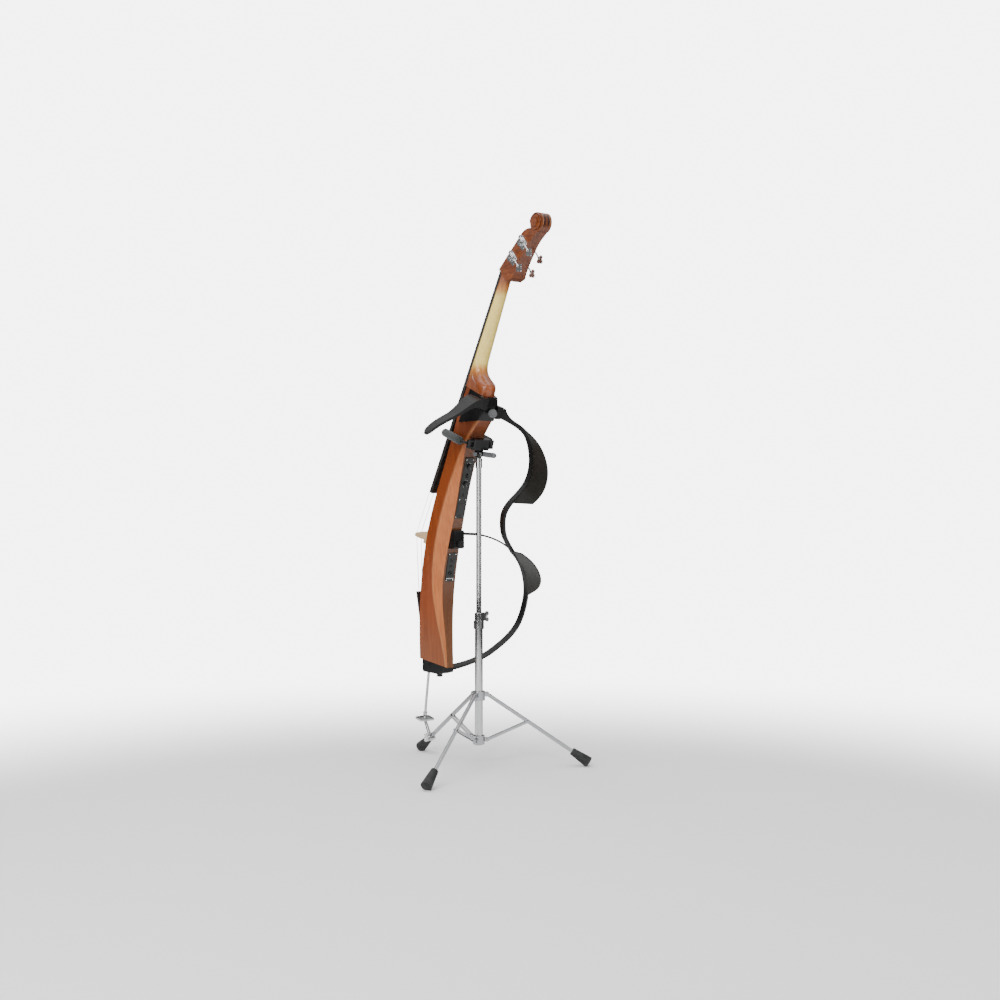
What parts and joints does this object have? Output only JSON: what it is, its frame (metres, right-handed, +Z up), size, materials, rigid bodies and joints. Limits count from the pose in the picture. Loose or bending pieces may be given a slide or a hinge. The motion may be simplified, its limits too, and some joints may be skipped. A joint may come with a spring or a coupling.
{
  "type": "electric upright bass on a folding stand",
  "caption": "Slim-bodied electric upright double bass with a side frame, held by a yoke on a folding tripod stand.",
  "frame": {"origin": "on the axis of the stand's tube, at floor level", "axes": "+Z up, strings face -Y, +X to the right seen from the strings' side"},
  "size_m": [0.7044, 0.8011, 1.8918],
  "materials": {
    "stained_wood": "gloss red-brown burst with a lighter orange bevel",
    "maple": "gloss amber maple, browned at both ends",
    "black_board": "satin black hardwood",
    "bridge_maple": "bare satin maple",
    "bone": "satin off-white",
    "string_steel": "wound steel",
    "bright_metal": "polished",
    "black_plastic": "satin, finely textured",
    "black_paint": "satin black",
    "panel_plastic": "semi-gloss",
    "knob_plastic": "fine matte",
    "foot_rubber": "matte",
    "foam": "matte closed-cell foam",
    "grey_plastic": "satin",
    "battery_case": "printed sleeve, no lettering"
  },
  "bodies": {
    "stand_base": {"lower_tube": "bright_metal", "lower_hub": "bright_metal", "height_clamp": "bright_metal"},
    "height_bolt": {"height_wing_bolt": "bright_metal"},
    "leg_hub": {"upper_hub": "bright_metal"},
    "front_leg": {"leg_front": "bright_metal", "foot_front": "foot_rubber", "pin_holder": "bright_metal"},
    "right_leg": {"leg_right": "bright_metal", "foot_right": "foot_rubber"},
    "left_leg": {"leg_left": "bright_metal", "foot_left": "foot_rubber"},
    "holder_bolt": {"holder_wing_bolt": "bright_metal"},
    "front_brace": {"brace_front": "bright_metal"},
    "right_brace": {"brace_right": "bright_metal"},
    "left_brace": {"brace_left": "bright_metal"},
    "mast": {"upper_tube": "bright_metal", "tilter_base": "bright_metal"},
    "yoke": {"yoke_block": "knob_plastic"},
    "lever": {"tilt_lever": "grey_plastic"},
    "left_arm": {"yoke_arm_left": "black_paint", "foam_sleeve_left": "foam"},
    "right_yoke_arm": {"yoke_arm_right": "black_paint", "foam_sleeve_right": "foam"},
    "instrument": {"body": "stained_wood", "neck": "maple", "fingerboard": "black_board", "nut": "bone", "pegbox": "maple", "machine_plates": "bright_metal", "strings": "string_steel", "bridge": "bridge_maple", "tailpiece": "black_board", "bottom_bracket": "black_paint", "top_bracket": "black_paint", "middle_bracket": "black_paint", "upper_panel": "panel_plastic", "lower_panel": "panel_plastic", "sockets": "panel_plastic", "battery": "battery_case"},
    "pin": {"end_pin": "bright_metal"},
    "volume": {"knob_volume": "knob_plastic"},
    "tone": {"knob_tone": "knob_plastic"},
    "switch": {"slide_switch": "knob_plastic"},
    "door": {"battery_door": "panel_plastic"},
    "top_screw": {"top_thumb_screw": "knob_plastic"},
    "middle_screw": {"middle_thumb_screw": "knob_plastic"},
    "bottom_screw": {"bottom_thumb_screw": "knob_plastic"},
    "side_frame": {"frame_upper_band": "black_plastic", "frame_lower_band": "black_plastic", "frame_shields": "black_plastic"},
    "frame_arm": {"right_arm": "black_plastic"},
    "key_e": {"tuning_key_e": "bright_metal"},
    "roller_e": {"string_roller_e": "bright_metal"},
    "key_g": {"tuning_key_g": "bright_metal"},
    "roller_g": {"string_roller_g": "bright_metal"},
    "key_a": {"tuning_key_a": "bright_metal"},
    "roller_a": {"string_roller_a": "bright_metal"},
    "key_d": {"tuning_key_d": "bright_metal"},
    "roller_d": {"string_roller_d": "bright_metal"}
  },
  "joints": [
    {"name": "mast_height", "type": "slide", "parent": "stand_base", "child": "mast", "axis": [0, 0, 1], "range_m": [0, 0.25]},
    {"name": "leg_fold", "type": "slide", "parent": "stand_base", "child": "leg_hub", "axis": [0, 0, 1], "range_m": [0, 0.1674]},
    {"name": "height_bolt_turn", "type": "hinge", "parent": "stand_base", "child": "height_bolt", "pos_m": [-0.03, 0, 0.534], "axis": [-1, 0, 0], "range_deg": [0, 360]},
    {"name": "front_leg_fold", "type": "hinge", "parent": "leg_hub", "child": "front_leg", "pos_m": [0, -0.03, 0.261], "axis": [1, 0, 0], "range_deg": [0, 47.6]},
    {"name": "front_brace_fold", "type": "hinge", "parent": "stand_base", "child": "front_brace", "pos_m": [0, -0.03, 0.101], "axis": [-1, 0, 0], "range_deg": [0, 58]},
    {"name": "right_leg_fold", "type": "hinge", "parent": "leg_hub", "child": "right_leg", "pos_m": [0.02598, 0.015, 0.261], "axis": [-0.5, 0.866, 0], "range_deg": [0, 47.6]},
    {"name": "right_brace_fold", "type": "hinge", "parent": "stand_base", "child": "right_brace", "pos_m": [0.02598, 0.015, 0.101], "axis": [0.5, -0.866, 0], "range_deg": [0, 58]},
    {"name": "left_leg_fold", "type": "hinge", "parent": "leg_hub", "child": "left_leg", "pos_m": [-0.02598, 0.015, 0.261], "axis": [-0.5, -0.866, 0], "range_deg": [0, 47.6]},
    {"name": "left_brace_fold", "type": "hinge", "parent": "stand_base", "child": "left_brace", "pos_m": [-0.02598, 0.015, 0.101], "axis": [0.5, 0.866, 0], "range_deg": [0, 58]},
    {"name": "holder_bolt_turn", "type": "hinge", "parent": "front_leg", "child": "holder_bolt", "pos_m": [0.02, -0.32043, 0.06213], "axis": [1, 0, 0], "range_deg": [0, 360]},
    {"name": "tilt", "type": "hinge", "parent": "mast", "child": "yoke", "pos_m": [0, 0, 1.108], "axis": [-1, 0, 0], "range_deg": [0, 12]},
    {"name": "tilt_lever_turn", "type": "hinge", "parent": "yoke", "child": "lever", "pos_m": [0, 0, 1.108], "axis": [-1, 0, 0], "range_deg": [0, 60]},
    {"name": "left_arm_swing", "type": "hinge", "parent": "yoke", "child": "left_arm", "pos_m": [-0.046, 0.008, 1.143], "axis": [0, -0.3256, -0.9455], "range_deg": [0, 40]},
    {"name": "right_arm_swing", "type": "hinge", "parent": "yoke", "child": "right_yoke_arm", "pos_m": [0.046, 0.008, 1.143], "axis": [0, 0.3256, 0.9455], "range_deg": [0, 40]},
    {"name": "instrument_lift_off", "type": "slide", "parent": "yoke", "child": "instrument", "axis": [0, -0.9511, 0.309], "range_m": [0, 0.6]},
    {"name": "end_pin_height", "type": "slide", "parent": "instrument", "child": "pin", "axis": [0, 0.157, 0.9876], "range_m": [0, 0.1]},
    {"name": "side_frame_pull", "type": "slide", "parent": "instrument", "child": "side_frame", "axis": [-1, 0, 0], "range_m": [0, 0.12]},
    {"name": "right_arm_pull", "type": "slide", "parent": "instrument", "child": "frame_arm", "axis": [1, 0, 0], "range_m": [0, 0.12]},
    {"name": "key_e_turn", "type": "hinge", "parent": "instrument", "child": "key_e", "pos_m": [-0.0325, 0.24127, 1.74478], "axis": [0, 0.6428, -0.766], "continuous": true},
    {"name": "roller_e_turn", "type": "hinge", "parent": "instrument", "child": "roller_e", "pos_m": [0, 0.21783, 1.74861], "axis": [1, 0, 0], "continuous": true},
    {"name": "key_g_turn", "type": "hinge", "parent": "instrument", "child": "key_g", "pos_m": [0.0317, 0.25506, 1.75635], "axis": [0, 0.6428, -0.766], "continuous": true},
    {"name": "roller_g_turn", "type": "hinge", "parent": "instrument", "child": "roller_g", "pos_m": [0, 0.23161, 1.76018], "axis": [1, 0, 0], "continuous": true},
    {"name": "key_a_turn", "type": "hinge", "parent": "instrument", "child": "key_a", "pos_m": [-0.0298, 0.28876, 1.78463], "axis": [0, 0.6428, -0.766], "continuous": true},
    {"name": "roller_a_turn", "type": "hinge", "parent": "instrument", "child": "roller_a", "pos_m": [0, 0.26532, 1.78846], "axis": [1, 0, 0], "continuous": true},
    {"name": "key_d_turn", "type": "hinge", "parent": "instrument", "child": "key_d", "pos_m": [0.0287, 0.30715, 1.80006], "axis": [0, 0.6428, -0.766], "continuous": true},
    {"name": "roller_d_turn", "type": "hinge", "parent": "instrument", "child": "roller_d", "pos_m": [0, 0.28371, 1.80389], "axis": [1, 0, 0], "continuous": true},
    {"name": "volume_turn", "type": "hinge", "parent": "instrument", "child": "volume", "pos_m": [0, -0.06619, 1.067], "axis": [0, 0.927, -0.3751], "range_deg": [-150, 150]},
    {"name": "tone_turn", "type": "hinge", "parent": "instrument", "child": "tone", "pos_m": [0, -0.08815, 1.005], "axis": [0, 0.9476, -0.3196], "range_deg": [-150, 150]},
    {"name": "switch_slide", "type": "slide", "parent": "instrument", "child": "switch", "axis": [0, -0.3304, -0.9439], "range_m": [-0.004, 0.004]},
    {"name": "battery_door_open", "type": "hinge", "parent": "instrument", "child": "door", "pos_m": [0, -0.10895, 0.93405], "axis": [1, 0, 0], "range_deg": [0, 90]},
    {"name": "top_screw_turn", "type": "hinge", "parent": "instrument", "child": "top_screw", "pos_m": [0, 0.09, 1.246], "axis": [0, 1, 0], "range_deg": [0, 360]},
    {"name": "middle_screw_turn", "type": "hinge", "parent": "instrument", "child": "middle_screw", "pos_m": [0, -0.12, 0.788], "axis": [0, 1, 0], "range_deg": [0, 360]},
    {"name": "bottom_screw_turn", "type": "hinge", "parent": "instrument", "child": "bottom_screw", "pos_m": [0, -0.258, 0.3], "axis": [0, 0, -1], "range_deg": [0, 360]}
  ],
  "couplings": [
    {"joint": "front_leg_fold", "follows": "leg_fold", "rad_per_m": 4.96},
    {"joint": "front_brace_fold", "follows": "leg_fold", "rad_per_m": 6.04},
    {"joint": "right_leg_fold", "follows": "leg_fold", "rad_per_m": 4.96},
    {"joint": "right_brace_fold", "follows": "leg_fold", "rad_per_m": 6.04},
    {"joint": "left_leg_fold", "follows": "leg_fold", "rad_per_m": 4.96},
    {"joint": "left_brace_fold", "follows": "leg_fold", "rad_per_m": 6.04},
    {"joint": "roller_e_turn", "follows": "key_e_turn", "ratio": 0.05},
    {"joint": "roller_g_turn", "follows": "key_g_turn", "ratio": -0.05},
    {"joint": "roller_a_turn", "follows": "key_a_turn", "ratio": 0.05},
    {"joint": "roller_d_turn", "follows": "key_d_turn", "ratio": -0.05}
  ]
}
